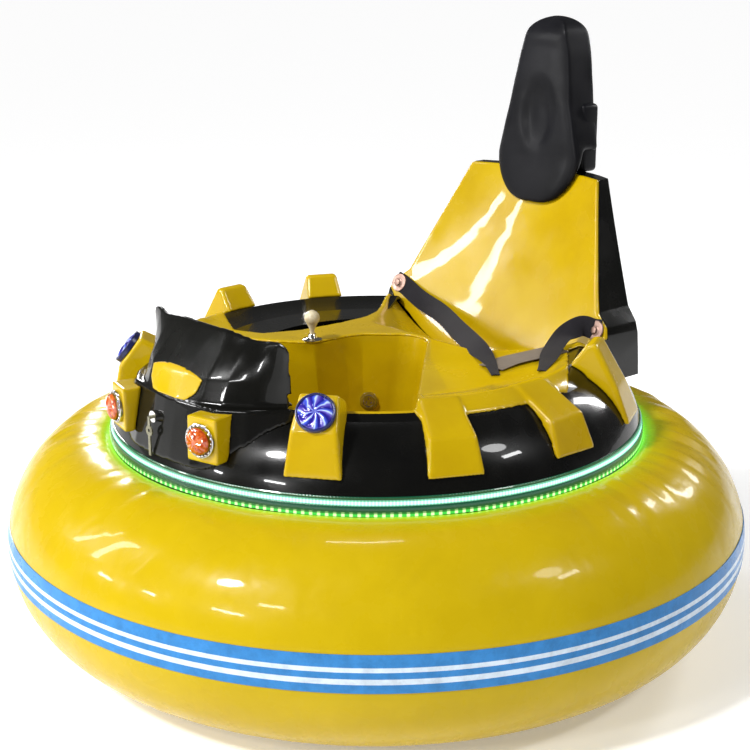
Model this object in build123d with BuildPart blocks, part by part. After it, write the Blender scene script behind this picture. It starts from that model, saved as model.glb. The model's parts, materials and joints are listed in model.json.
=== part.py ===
from build123d import *
from math import cos, radians, sin, sqrt
import os

os.makedirs("parts", exist_ok=True)

# Millimetres. The car faces -Y, +X is the driver's left, Z is up, the wheels stand on z = 0.

# Inflated bumper tube
tube_ring_radius = 670
tube_half_width = 228
tube_half_height = 243
tube_centre_z = 262
band_low_z = 232
band_high_z = 313
band_proud = 2

# Hull drum that the tube is stretched over
drum_bite = 6
drum_wall = 8
flange_sink = 3
flange_thick = 8
flange_inset = 24
tube_seat_play = 6
drum_bend_z = 323
pan_radius = tube_ring_radius - tube_half_width + drum_bite
flange_high_z = tube_centre_z + tube_half_height - flange_sink
flange_low_z = flange_high_z - flange_thick
flange_radius = tube_ring_radius - flange_inset

# Shoulder ring moulding, from its foot over the brow and the crest to the deck
shoulder_inset = 7
shoulder_wall = 8
ledge_gap = 9
ledge_height = 13
ledge_proud = 6
foot_height = 38
bulge_in = 43
bulge_z = 622
brow_in = 103
brow_z = 671
crest_in = 150
crest_z = 700
dish_in = 234
dish_z = 684
deck_inner_radius = 300
led_height = 12
led_proud = 5
lower_led_proud = 8
shoulder_foot_radius = flange_radius - shoulder_inset
ledge_low_z = flange_high_z + ledge_gap
ledge_high_z = ledge_low_z + ledge_height
ledge_radius = shoulder_foot_radius + ledge_proud
shoulder_wall_top_z = flange_high_z + foot_height
bulge_radius = shoulder_foot_radius - bulge_in
brow_radius = shoulder_foot_radius - brow_in
crest_radius = shoulder_foot_radius - crest_in
dish_radius = shoulder_foot_radius - dish_in

# Yellow deck, leg well and seat pan
deck_plate = 6
well_wall = 6
well_floor_z = 160
well_pivot_y = -150
well_low_scale = 0.74
well_rim_gap = 12
well_near_angle = 57.6
scoop_front_y = 150
scoop_rear_y = 420
scoop_front_half = 190
scoop_rear_half = 390
scoop_front_z = 662
scoop_rear_z = 552
scoop_wall = 6

# Seat back: a trough-shaped panel leaning back, in front of a shell
trough_low_z = 500
trough_low_y = 318
trough_low_half = 470
trough_low_depth = 2
trough_high_z = 1120
trough_high_y = 541.5
trough_high_half = 235
trough_high_depth = 71.5
panel_thick = 12
panel_top_z = 1062
panel_top_half = 217
shell_low_edge_y = 500
shell_low_back_y = 602
shell_high_half = 300
shell_high_edge_y = 512
shell_high_back_y = 645

# Headrest pod
head_chin_z = 966
head_cheek_z = 1100
head_cheek_half = 140
head_crown_z = 1450

# Chassis
plate_thick = 8
plate_low_z = 144
wheel_radius = 100
wheel_width = 50
wheel_x = 340
wheel_y = 60
slot_half_x = 36
slot_half_y = 108
hub_radius = 62
shaft_radius = 10
shaft_play = 0.05
motor_radius = 42
gearbox_inner_x = 235
gearbox_outer_x = 304
motor_inner_x = 118
gearbox_y = 96
gearbox_z = 88
shaft_inner_x = 264
shaft_end_gap = 4

# Casters
jack_pad_x = 120
jack_pad_y = -60
jack_pad_drop = 24
caster_y = 330
caster_wheel_radius = 50
caster_wheel_width = 32
caster_trail = 30
caster_pad = 6
caster_pad_x = 96
caster_pad_y = 84
caster_boss_radius = 20
caster_boss_drop = 10
pin_radius = 8
pin_play = 0.05
axle_radius = 6
fork_side = 10
fork_gap = 5
fork_crown = 8
fork_play = 2

# Nose, front lamps and key
nose_low_z = 672
lamp_angle = 14.1
lamp_face_radius = 656
lamp_centre_z = 635
lamp_radius = 36.5
bezel_width = 6

drum_low_z = plate_low_z + plate_thick
deck_z = dish_z + deck_plate
cut_reach = tube_ring_radius + tube_half_width

# columns: side word, sign of x
sides = [("left", 1), ("right", -1)]


def polar(angle, radius):
    return (radius * sin(radians(angle)), -radius * cos(radians(angle)))


def radial_plane(angle):
    turn = radians(angle)
    return Plane(
        origin=(0, 0, 0),
        x_dir=(sin(turn), -cos(turn), 0),
        z_dir=(-cos(turn), -sin(turn), 0),
    )


# The shoulder's skin: it rises from the foot over bulge and brow to the crest, then dips to the deck.
def skin_points(sink, lift):
    lean = 0.7 * sink
    return [
        (shoulder_foot_radius - sink, shoulder_wall_top_z),
        (bulge_radius - lean, bulge_z - lean + lift),
        (brow_radius - lean, brow_z - lean + lift),
        (crest_radius, crest_z - sink + lift),
        (dish_radius, dish_z - sink + lift),
        (0, dish_z - sink + lift),
    ]


def under_skin(sink, lift, inner, low):
    foot, bulge, brow, crest, dish, centre = skin_points(sink, lift)
    with BuildSketch() as region:
        with BuildLine():
            ThreePointArc(foot, bulge, brow)
            ridge = ((brow[0] + crest[0]) / 2, brow[1] + 0.66 * (crest[1] - brow[1]))
            ThreePointArc(brow, ridge, crest)
            middle = ((crest[0] + dish[0]) / 2, dish[1] + 0.38 * (crest[1] - dish[1]))
            ThreePointArc(crest, middle, dish)
            Polyline(dish, (inner, dish[1]), (inner, low), (foot[0], low), foot)
        make_face()
    return region.sketch


with BuildPart() as shoulder_bulk:
    with BuildSketch(Plane.XZ):
        add(under_skin(0, 0, 0, 0))
    revolve(axis=Axis.Z)

# The leg well's outline from its rounded apex at the back to the rim at the front. Inside the car's
# right side a console stands in the well; low down it is gone. Columns: x, y at the deck, x, y low down.
well_apex_half = 62
well_apex_y = 117
well_apex_reach = 149
well_low_right = [(-98, 82), (-122, 58), (-190, -14), (-240, -68)]
console = [(-118, 58), (-130, 10), (-130, -92), (-205, -152)]


def well_outline(scale, right, grow):
    rim = brow_radius - well_rim_gap

    def place(point):
        return (point[0] * scale, well_pivot_y + (point[1] - well_pivot_y) * scale)

    near = place(polar(well_near_angle, rim))
    with BuildSketch() as outline:
        with BuildLine():
            ThreePointArc(
                place((-well_apex_half, well_apex_y)),
                place((0, well_apex_reach)),
                place((well_apex_half, well_apex_y)),
            )
            Line(place((well_apex_half, well_apex_y)), near)
            ThreePointArc(near, place(polar(0, rim)), (-near[0], near[1]))
            Polyline(
                (-near[0], near[1]),
                *[place(point) for point in reversed(right)],
                place((-well_apex_half, well_apex_y)),
            )
        make_face()
        if grow:
            offset(amount=grow, kind=Kind.INTERSECTION)
    return outline.sketch


# levels of the well: height, scale, right-hand points
well_levels = [
    (crest_z + 20, 1.0, console),
    (drum_bend_z, well_low_scale, well_low_right),
    (drum_low_z, well_low_scale, well_low_right),
]


def well_solid(grow, floor):
    levels = [*well_levels[:-1], (floor, *well_levels[-1][1:])]
    with BuildPart() as block:
        for upper, lower in zip(levels, levels[1:]):
            for height, scale, right in (upper, lower):
                with BuildSketch(Plane.XY.offset(height)):
                    add(well_outline(scale, right, grow))
            loft(ruled=True)
    return block.part


well_block = well_solid(well_wall, drum_low_z)
well_space = well_solid(0, well_floor_z)

# --- bumper tube ------------------------------------------------------------------------------

with BuildPart() as tube:
    with BuildSketch(Plane.XZ):
        with Locations((tube_ring_radius, tube_centre_z)):
            Ellipse(tube_half_width, tube_half_height)
        with Locations((0, tube_centre_z)):
            Rectangle(2 * pan_radius, 3 * tube_half_height, mode=Mode.SUBTRACT)
    revolve(axis=Axis.Z)
    with Locations((0, 0, flange_low_z)):
        Cylinder(
            flange_radius + tube_seat_play,
            tube_half_height,
            align=(Align.CENTER, Align.CENTER, Align.MIN),
            mode=Mode.SUBTRACT,
        )
tube.part.label = "bumper_tube"
export_step(tube.part, "parts/bumper_tube.step")

with BuildPart() as band:
    with BuildSketch(Plane.XZ):
        with Locations((tube_ring_radius, tube_centre_z)):
            Ellipse(tube_half_width + band_proud, tube_half_height + band_proud)
            Ellipse(tube_half_width, tube_half_height, mode=Mode.SUBTRACT)
        with Locations((tube_ring_radius, band_low_z)):
            Rectangle(
                2 * tube_half_width,
                band_high_z - band_low_z,
                align=(Align.MIN, Align.MIN),
                mode=Mode.INTERSECT,
            )
    revolve(axis=Axis.Z)
band.part.label = "stripe_band"
export_step(band.part, "parts/stripe_band.step")

# --- hull drum and LED strips -----------------------------------------------------------------

flange_lip_width = 48
drum_inner = pan_radius - drum_wall
flange_lip = flange_radius - flange_lip_width
with BuildPart() as pan:
    with BuildSketch(Plane.XZ):
        with BuildLine():
            Polyline(
                (drum_inner, drum_low_z),
                (pan_radius, drum_low_z),
                (pan_radius, tube_centre_z),
                (tube_ring_radius, tube_centre_z),
                (flange_radius, flange_low_z),
                (flange_radius, flange_high_z),
                (flange_lip, flange_high_z),
            )
            bend = ((drum_inner + flange_lip) / 2 - 16, (drum_bend_z + flange_high_z) / 2 + 28)
            ThreePointArc((flange_lip, flange_high_z), bend, (drum_inner, drum_bend_z))
            Line((drum_inner, drum_bend_z), (drum_inner, drum_low_z))
        make_face()
    revolve(axis=Axis.Z)
    add(tube.part, mode=Mode.SUBTRACT)
pan.part.label = "hull_drum"
export_step(pan.part, "parts/hull_drum.step")

# columns: name, low z, proud, height
led_strips = [
    ("led_strip_upper", ledge_high_z, led_proud, led_height),
    ("led_strip_lower", flange_high_z, lower_led_proud, ledge_low_z - flange_high_z),
]
for name, low, proud, height in led_strips:
    with BuildPart() as strip:
        with BuildSketch(Plane.XZ):
            with Locations((shoulder_foot_radius, low)):
                Rectangle(proud, height, align=(Align.MIN, Align.MIN))
        revolve(axis=Axis.Z)
    strip.part.label = name
    export_step(strip.part, f"parts/{name}.step")

# --- teeth on the shoulder --------------------------------------------------------------------

tooth_crease_in = 36
tooth_crease_z = 652
tooth_low_in = 5
tooth_low_z = 576
tooth_low_half = 63
tooth_top_half = 40
tooth_top_z = 765
tooth_round = 7
disc_radius = 42.5
disc_thick = 9
disc_x = 352
disc_y = 484
disc_z = 709
disc_turn = 40
disc_tilt = 38


def disc_plane(sign):
    return Plane(
        origin=(sign * disc_x, -disc_y, disc_z),
        x_dir=(cos(radians(disc_turn)), sign * sin(radians(disc_turn)), 0),
        z_dir=(
            sign * sin(radians(disc_turn)) * cos(radians(disc_tilt)),
            -cos(radians(disc_turn)) * cos(radians(disc_tilt)),
            sin(radians(disc_tilt)),
        ),
    )


# Side profiles from the inner end to the crease above the outer face, as radius and height. A post's
# face lies on the back of its disc lamp.
def tooth_profile(inner, end_lean, top):
    return [
        (inner, deck_z),
        (inner + end_lean, top),
        (inner + end_lean + 22, top + 2),
        (shoulder_foot_radius - tooth_crease_in, tooth_crease_z),
    ]


disc_back_radius = sqrt(disc_x**2 + disc_y**2) - disc_thick * cos(radians(disc_tilt))
disc_back_z = disc_z - disc_thick * sin(radians(disc_tilt))
face_reach = 0.95 * disc_radius
post_reach = (face_reach * sin(radians(disc_tilt)), face_reach * cos(radians(disc_tilt)))
post_profile = [
    (512, deck_z + 22),
    (disc_back_radius - post_reach[0] - 6, disc_back_z + post_reach[1] + 2),
    (disc_back_radius - post_reach[0], disc_back_z + post_reach[1]),
    (disc_back_radius + post_reach[0], disc_back_z - post_reach[1]),
]
arm_profile = tooth_profile(470, 4, 706)
block_profile = tooth_profile(480, 44, 752)

# columns: name, angle from the front (plus is left), side profile
teeth = [
    ("disc_post_left", 36, post_profile),
    ("disc_post_right", -36, post_profile),
    ("arm_front_left", 63.5, arm_profile),
    ("arm_front_right", -63.5, arm_profile),
    ("arm_rear_left", 91.5, arm_profile),
    ("side_tooth_right", -86, block_profile),
    ("rear_tooth_left", 118.7, block_profile),
    ("rear_tooth_right", -115.4, block_profile),
]
arms = []
blocks = []
for name, angle, profile in teeth:
    outward = radial_plane(angle + 90)
    with BuildPart() as tooth:
        with BuildSketch(radial_plane(angle)):
            with BuildLine():
                Polyline(
                    (profile[0][0], tooth_low_z),
                    *profile,
                    (shoulder_foot_radius - tooth_low_in, tooth_low_z),
                    close=True,
                )
            make_face()
        extrude(amount=tooth_low_half, both=True)
        with BuildSketch(outward.offset(crest_radius / 2)):
            with BuildLine():
                Polyline(
                    (-tooth_low_half, tooth_low_z),
                    (tooth_low_half, tooth_low_z),
                    (tooth_top_half, tooth_top_z),
                    (-tooth_top_half, tooth_top_z),
                    close=True,
                )
            make_face()
        extrude(amount=shoulder_foot_radius, mode=Mode.INTERSECT)
        fillet(tooth.edges().filter_by_position(Axis.Z, tooth_low_z + 2, tooth_top_z), tooth_round)
        if name.startswith("disc_post"):
            with BuildSketch(disc_plane(1 if angle > 0 else -1).offset(-disc_thick)):
                Circle(disc_radius)
            extrude(amount=disc_radius, mode=Mode.SUBTRACT)
        add(shoulder_bulk.part, mode=Mode.SUBTRACT)
    if name.startswith("arm"):
        arms.append(tooth.part)
    else:
        blocks.append(tooth.part)
        tooth.part.label = name
        export_step(tooth.part, f"parts/{name}.step")

# --- yellow deck with the seat pan ------------------------------------------------------------

deck_edge = brow_radius - 1
deck_rear_y = 385
near_rear_angle = 97
far_rear_angle = 81
# the deck's edge behind the rear arm on the left, and along the well on the right
near_side = [(529, 102), (352, 300), (372, deck_rear_y)]
far_side = [
    (-372, deck_rear_y),
    (-322, 310),
    (-269, 240),
    (-245, 180),
    (-240, 90),
    (-250, -30),
    (-290, -125),
    (-362, -155),
]


# an arc from (-half, high) through (0, low), closed straight across at height
def arc_top_face(half, low, high, height):
    with BuildSketch() as face:
        with BuildLine():
            ThreePointArc((-half, high), (0, low), (half, high))
            Polyline((half, high), (half, height), (-half, height), (-half, high))
        make_face()
    return face.sketch


# the space between the seat back's trough surface moved by near and by far along y
def trough(near, far):
    levels = [
        (trough_low_z, trough_low_y, trough_low_half, trough_low_depth),
        (trough_high_z, trough_high_y, trough_high_half, trough_high_depth),
    ]
    with BuildPart() as space:
        for height, edge_y, half, depth in levels:
            with BuildSketch(Plane.XY.offset(height)):
                with BuildLine():
                    front = edge_y + near
                    rear = edge_y + far
                    ThreePointArc((-half, front), (0, front + depth), (half, front))
                    Line((half, front), (half, rear))
                    ThreePointArc((half, rear), (0, rear + depth), (-half, rear))
                    Line((-half, rear), (-half, front))
                make_face()
        loft(ruled=True)
    return space.part


# The seat back seen from the front: a straight-sided top, flared wings and a round foot.
wing_top = [(385, 710), (375, 735), (335, 764), (panel_top_half, panel_top_z)]
with BuildPart() as seat_back_shape:
    with BuildSketch(Plane.XZ):
        with BuildLine():
            wing = [(300, 655), (360, 683), *wing_top]
            ThreePointArc((-300, 655), (0, 570), (300, 655))
            Polyline(*wing, *[(-x, z) for x, z in reversed(wing)])
        make_face()
    extrude(amount=-cut_reach)
back_prism = seat_back_shape.part

shell_skirt_z = 600
with BuildPart() as shell_shape:
    with BuildSketch(Plane.XZ):
        with BuildLine():
            skirt = [(wing_top[0][0], shell_skirt_z), *wing_top]
            Polyline(*skirt, *[(-x, z) for x, z in reversed(skirt)], close=True)
        make_face()
    extrude(amount=-cut_reach)

with BuildPart() as deck:
    with BuildSketch(Plane.XZ):
        add(under_skin(0, deck_plate, 0, 0))
    revolve(axis=Axis.Z)
    add(shoulder_bulk.part, mode=Mode.SUBTRACT)
    with BuildSketch(Plane.XY.offset(bulge_z)):
        with BuildLine():
            ThreePointArc(
                polar(well_near_angle, deck_edge),
                polar((well_near_angle + near_rear_angle) / 2, deck_edge),
                polar(near_rear_angle, deck_edge),
            )
            Polyline(
                polar(near_rear_angle, deck_edge),
                *near_side,
                *far_side,
                polar(-far_rear_angle, deck_edge),
            )
            ThreePointArc(
                polar(-far_rear_angle, deck_edge),
                polar(-(well_near_angle + far_rear_angle) / 2, deck_edge),
                polar(-well_near_angle, deck_edge),
            )
            Line(polar(-well_near_angle, deck_edge), polar(well_near_angle, deck_edge))
        make_face()
    extrude(amount=tooth_top_z - bulge_z, mode=Mode.INTERSECT)
    for arm in arms:
        add(arm)
    with BuildSketch(Plane.XZ.offset(-scoop_front_y)):
        add(arc_top_face(scoop_front_half + scoop_wall, scoop_front_z - scoop_wall, deck_z - 1, deck_z))
    with BuildSketch(Plane.XZ.offset(-scoop_rear_y)):
        add(arc_top_face(scoop_rear_half + scoop_wall, scoop_rear_z - scoop_wall, deck_z - 1, deck_z))
    loft()
    with BuildSketch(Plane.XZ.offset(-scoop_front_y - scoop_wall)):
        add(arc_top_face(scoop_front_half, scoop_front_z, deck_z, deck_z + 20))
    with BuildSketch(Plane.XZ.offset(-scoop_rear_y - scoop_wall)):
        add(arc_top_face(scoop_rear_half, scoop_rear_z, deck_z, deck_z + 20))
    loft(mode=Mode.SUBTRACT)
    add(well_space, mode=Mode.SUBTRACT)
    for block in blocks:
        add(block, mode=Mode.SUBTRACT)
    # the seat back closes the pan behind
    add(trough(0, 400), mode=Mode.SUBTRACT)
deck.part.label = "seat_deck"
export_step(deck.part, "parts/seat_deck.step")

with BuildPart() as well:
    add(well_block)
    add(well_space, mode=Mode.SUBTRACT)
    add(shoulder_bulk.part, mode=Mode.INTERSECT)
well.part.label = "leg_well"
export_step(well.part, "parts/leg_well.step")

# --- seat back and headrest -------------------------------------------------------------------

with BuildPart() as panel:
    add(trough(0, panel_thick))
    add(back_prism, mode=Mode.INTERSECT)
panel.part.label = "seat_back_panel"
export_step(panel.part, "parts/seat_back_panel.step")

with BuildPart() as shoulder:
    with BuildSketch(Plane.XZ):
        add(under_skin(0, 0, deck_inner_radius, flange_high_z))
    revolve(axis=Axis.Z)
    with BuildSketch(Plane.XZ):
        add(under_skin(shoulder_wall, 0, 0, 0))
    revolve(axis=Axis.Z, mode=Mode.SUBTRACT)
    with BuildSketch(Plane.XZ):
        with Locations((shoulder_foot_radius - shoulder_wall, ledge_low_z)):
            Rectangle(ledge_radius - shoulder_foot_radius + shoulder_wall, ledge_height, align=Align.MIN)
    revolve(axis=Axis.Z)
    # the leg well and the seat pan pass through the deck
    add(well_block, mode=Mode.SUBTRACT)
    with BuildSketch(Plane.XY.offset(dish_z - 40)):
        with BuildLine():
            Polyline(
                (-scoop_front_half, scoop_front_y - 10),
                (scoop_front_half, scoop_front_y - 10),
                (scoop_rear_half - 30, scoop_rear_y + 10),
                (-scoop_rear_half + 30, scoop_rear_y + 10),
                close=True,
            )
        make_face()
    extrude(amount=80, mode=Mode.SUBTRACT)
    add(deck.part, mode=Mode.SUBTRACT)
    add(panel.part, mode=Mode.SUBTRACT)
shoulder.part.label = "shoulder_ring"
export_step(shoulder.part, "parts/shoulder_ring.step")

# columns: height, half width, y at the edges, y at the middle of the rear face
shell_levels = [
    (trough_low_z, trough_low_half, shell_low_edge_y, shell_low_back_y),
    (trough_high_z, shell_high_half, shell_high_edge_y, shell_high_back_y),
]
with BuildPart() as shell:
    for height, half, edge_y, back_y in shell_levels:
        with BuildSketch(Plane.XY.offset(height)):
            with BuildLine():
                ThreePointArc((half, edge_y), (0, back_y), (-half, edge_y))
                Polyline((-half, edge_y), (-half, 0), (half, 0), (half, edge_y))
            make_face()
    loft(ruled=True)
    add(shell_shape.part, mode=Mode.INTERSECT)
    add(trough(-cut_reach, 0), mode=Mode.SUBTRACT)
    add(panel.part, mode=Mode.SUBTRACT)
    add(shoulder_bulk.part, mode=Mode.SUBTRACT)
shell.part.label = "seat_shell"
export_step(shell.part, "parts/seat_shell.step")

# The pod's side profile in y and z, up its front and down its back, and its right edge from the front.
head_front = [(530, head_chin_z - 4), (549, head_cheek_z), (556, 1240), (572, 1380)]
head_crown = (622, head_crown_z)
head_rear = [(671, 1400), (660, 1240), (642, panel_top_z), (590, panel_top_z)]
head_side = [(head_cheek_half, head_cheek_z), (105, 1235), (83, 1360), (67, 1415)]
with BuildPart() as head:
    with BuildSketch(Plane.YZ):
        with BuildLine():
            Polyline(*head_front)
            ThreePointArc(head_front[-1], (593, 1436), head_crown)
            ThreePointArc(head_crown, (656, 1437), head_rear[0])
            Polyline(*head_rear, head_front[0])
        make_face()
    extrude(amount=head_cheek_half, both=True)
    with BuildSketch(Plane.XZ):
        with BuildLine():
            mirrored = [(-x, z) for x, z in head_side]
            ThreePointArc(mirrored[0], (0, head_chin_z), head_side[0])
            Polyline(*head_side)
            ThreePointArc(head_side[-1], (0, head_crown_z), mirrored[-1])
            Polyline(*reversed(mirrored))
        make_face()
    extrude(amount=-cut_reach, mode=Mode.INTERSECT)
    add(trough(0, panel_thick), mode=Mode.SUBTRACT)
    add(shell.part, mode=Mode.SUBTRACT)
head.part.label = "headrest"
export_step(head.part, "parts/headrest.step")

# --- hood over the front ----------------------------------------------------------------------

hood_wall = 8
# The hood's sections, from the middle of the front to the rear edge of its left side. The first two
# are its plinth, the others its shell. Columns: height, then x, y of six corners.
plinth_levels = [
    (556, [(0, -640), (38, -639), (105, -632), (165, -612), (225, -570), (285, -490)]),
    (692, [(0, -614), (36, -612), (98, -602), (151, -592), (207, -550), (266, -473)]),
]
hood_levels = [
    (692, [(0, -611), (36, -609), (98, -597), (146, -572), (200, -524), (252, -460)]),
    (744, [(0, -590), (40, -588), (103, -575), (146, -552), (196, -512), (251, -465)]),
    (840, [(0, -499), (46, -498), (90, -495), (140, -488), (200, -479), (249, -470)]),
]
hood_top_line = [(92, 834), (165, 826), (222, 830), (242, 824), (254, 806)]
hood_rear_run = 60


# a closed outline from its left half, run back behind its rear edge
def half_and_mirror(points, rear_run):
    left = [*points, (points[-1][0], points[-1][1] + rear_run)]
    return [*left, *[(-x, y) for x, y in reversed(left) if x > 0]]


def hood_solid(levels, narrower, back, rear_run):
    with BuildPart() as block:
        for upper, lower in zip(levels, levels[1:]):
            for height, points in (upper, lower):
                moved = [(x * narrower, y + back) for x, y in points]
                with BuildSketch(Plane.XY.offset(height)):
                    with BuildLine():
                        Polyline(*half_and_mirror(moved, rear_run), close=True)
                    make_face()
            loft(ruled=True)
    return block.part


narrower = 1 - hood_wall / hood_levels[0][1][-1][0]
hood_bulk = hood_solid(hood_levels, 1, 0, 1)
with BuildPart() as hood:
    add(hood_bulk)
    with BuildSketch(Plane.XZ):
        with BuildLine():
            right = [(-x, z) for x, z in reversed(hood_top_line)]
            foot = (hood_top_line[-1][0], plinth_levels[0][0])
            Polyline((-foot[0], foot[1]), *right, *hood_top_line, foot, close=True)
        make_face()
    extrude(amount=cut_reach, mode=Mode.INTERSECT)
    add(hood_solid(plinth_levels, 1, 0, 1))
    inner_levels = [plinth_levels[0], *hood_levels]
    add(hood_solid(inner_levels, narrower, hood_wall, hood_rear_run), mode=Mode.SUBTRACT)
    add(shoulder_bulk.part, mode=Mode.SUBTRACT)
    add(well_block, mode=Mode.SUBTRACT)
hood.part.label = "hood"
export_step(hood.part, "parts/hood.step")

nose_proud = 4
with BuildPart() as nose:
    add(hood_solid(hood_levels, 1, -nose_proud, 1))
    with BuildSketch(Plane.XZ):
        with BuildLine():
            ThreePointArc((-94, 741), (0, 757), (94, 741))
            Polyline((94, 741), (86, 711), (36, nose_low_z), (-36, nose_low_z), (-86, 711), (-94, 741))
        make_face()
    extrude(amount=cut_reach, mode=Mode.INTERSECT)
    add(hood_bulk, mode=Mode.SUBTRACT)
nose.part.label = "nose_patch"
export_step(nose.part, "parts/nose_patch.step")

# --- front lamps ------------------------------------------------------------------------------

lamp_block_half = 42
lamp_block_back = 520
lamp_block_low_z = 583
lamp_block_high_z = 684
bezel_depth = 7
lens_depth = 16
lens_bevel_side = 6
lens_bevel_face = 10
hood_fill = hood_solid(plinth_levels, 1, 0, 1)

for side, sign in sides:
    face = radial_plane(sign * lamp_angle + 90)
    front = Plane(
        origin=face.from_local_coords(Vector(0, lamp_centre_z, lamp_face_radius)),
        x_dir=face.x_dir,
        z_dir=face.z_dir,
    )
    with BuildPart() as block:
        with BuildSketch(face.offset(lamp_block_back)):
            with BuildLine():
                Polyline(
                    (-lamp_block_half, lamp_block_low_z),
                    (lamp_block_half, lamp_block_low_z),
                    (lamp_block_half - 3, lamp_block_high_z),
                    (-lamp_block_half + 3, lamp_block_high_z),
                    close=True,
                )
            make_face()
        extrude(amount=lamp_face_radius - lamp_block_back)
        add(shoulder_bulk.part, mode=Mode.SUBTRACT)
        add(hood_fill, mode=Mode.SUBTRACT)
    block.part.label = f"lamp_block_{side}"
    export_step(block.part, f"parts/lamp_block_{side}.step")
    with BuildPart() as bezel:
        with BuildSketch(front):
            Circle(lamp_radius)
            Circle(lamp_radius - bezel_width, mode=Mode.SUBTRACT)
        extrude(amount=bezel_depth)
    bezel.part.label = f"lamp_bezel_{side}"
    export_step(bezel.part, f"parts/lamp_bezel_{side}.step")
    with BuildPart() as lens:
        with BuildSketch(front):
            Circle(lamp_radius - bezel_width)
        extrude(amount=lens_depth)
        chamfer(lens.faces().sort_by(Axis.Y)[0].edges(), lens_bevel_side, lens_bevel_face)
    lens.part.label = f"lamp_lens_{side}"
    export_step(lens.part, f"parts/lamp_lens_{side}.step")

# --- disc lamps on the front posts ------------------------------------------------------------

for side, sign in sides:
    with BuildPart() as disc:
        with BuildSketch(disc_plane(sign)):
            Circle(disc_radius)
        extrude(amount=-disc_thick)
    disc.part.label = f"disc_lamp_{side}"
    export_step(disc.part, f"parts/disc_lamp_{side}.step")

# --- controls ---------------------------------------------------------------------------------

lever_x = -150
lever_y = -78
lever_base_radius = 17
lever_base_height = 6
lever_rod_radius = 5
ball_radius = 19
ball_rise = 56
with BuildPart() as lever:
    with Locations((lever_x, lever_y, deck_z)):
        Cylinder(lever_base_radius, lever_base_height, align=(Align.CENTER, Align.CENTER, Align.MIN))
        Cylinder(lever_rod_radius, ball_rise, align=(Align.CENTER, Align.CENTER, Align.MIN))
    with Locations((lever_x, lever_y, deck_z + ball_rise)):
        Sphere(ball_radius)
lever.part.label = "control_lever"
export_step(lever.part, "parts/control_lever.step")

key_x = -25
key_z = 642
lock_seat_y = 612
lock_face_y = 634
lock_radius = 13
with BuildPart() as lock:
    with BuildSketch(Plane.XZ.offset(lock_seat_y)):
        with Locations((key_x, key_z)):
            Circle(lock_radius)
    extrude(amount=lock_face_y - lock_seat_y)
    add(hood_fill, mode=Mode.SUBTRACT)
lock.part.label = "key_switch"
export_step(lock.part, "parts/key_switch.step")

key_stand = 8
key_thick = 3
key_bow_radius = 12
key_bow_drop = 30
key_length = 87
key_blade_half = 4
with BuildPart() as key:
    with BuildSketch(Plane.XZ.offset(lock_face_y)):
        with Locations((key_x, key_z)):
            Circle(4)
    extrude(amount=key_stand)
    with BuildSketch(Plane.XZ.offset(lock_face_y + key_stand)):
        with Locations((key_x, key_z - key_bow_drop / 2)):
            Rectangle(2 * key_blade_half, key_bow_drop + key_blade_half)
        with Locations((key_x, key_z - key_bow_drop)):
            Circle(key_bow_radius)
        with Locations((key_x, key_z - key_bow_drop)):
            Rectangle(
                2 * key_blade_half, key_length - key_bow_drop, align=(Align.CENTER, Align.MAX)
            )
        with Locations((key_x, key_z - key_bow_drop)):
            Circle(key_blade_half, mode=Mode.SUBTRACT)
    extrude(amount=key_thick)
key.part.label = "key"
export_step(key.part, "parts/key.step")

# --- chassis ----------------------------------------------------------------------------------

# columns: end word, y of the king pin
casters = [("front", -caster_y), ("rear", caster_y)]
caster_pad_low = plate_low_z - caster_pad
with BuildPart() as chassis:
    with BuildSketch(Plane.XY.offset(plate_low_z)):
        Circle(pan_radius)
        with Locations((wheel_x, wheel_y), (-wheel_x, wheel_y)):
            Rectangle(2 * slot_half_x, 2 * slot_half_y, mode=Mode.SUBTRACT)
    extrude(amount=plate_thick)
    with Locations((0, jack_pad_y, plate_low_z)):
        Box(jack_pad_x, jack_pad_x, jack_pad_drop, align=(Align.CENTER, Align.CENTER, Align.MAX))
    for end, king_y in casters:
        with Locations((0, king_y, plate_low_z)):
            Box(
                caster_pad_x,
                caster_pad_y,
                caster_pad,
                align=(Align.CENTER, Align.CENTER, Align.MAX),
            )
        with Locations((0, king_y, caster_pad_low)):
            Cylinder(
                caster_boss_radius,
                caster_boss_drop,
                align=(Align.CENTER, Align.CENTER, Align.MAX),
            )
        with Locations((0, king_y, plate_low_z)):
            Cylinder(
                pin_radius + pin_play,
                2 * (caster_pad + caster_boss_drop),
                align=(Align.CENTER, Align.CENTER, Align.MAX),
                mode=Mode.SUBTRACT,
            )
chassis.part.label = "chassis_plate"
export_step(chassis.part, "parts/chassis_plate.step")

battery_y = 300
battery_long = 330
battery_wide = 172
battery_high = 220
with BuildPart() as battery:
    with Locations((0, battery_y, drum_low_z)):
        Box(battery_long, battery_wide, battery_high, align=(Align.CENTER, Align.CENTER, Align.MIN))
battery.part.label = "battery"
export_step(battery.part, "parts/battery.step")

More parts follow.
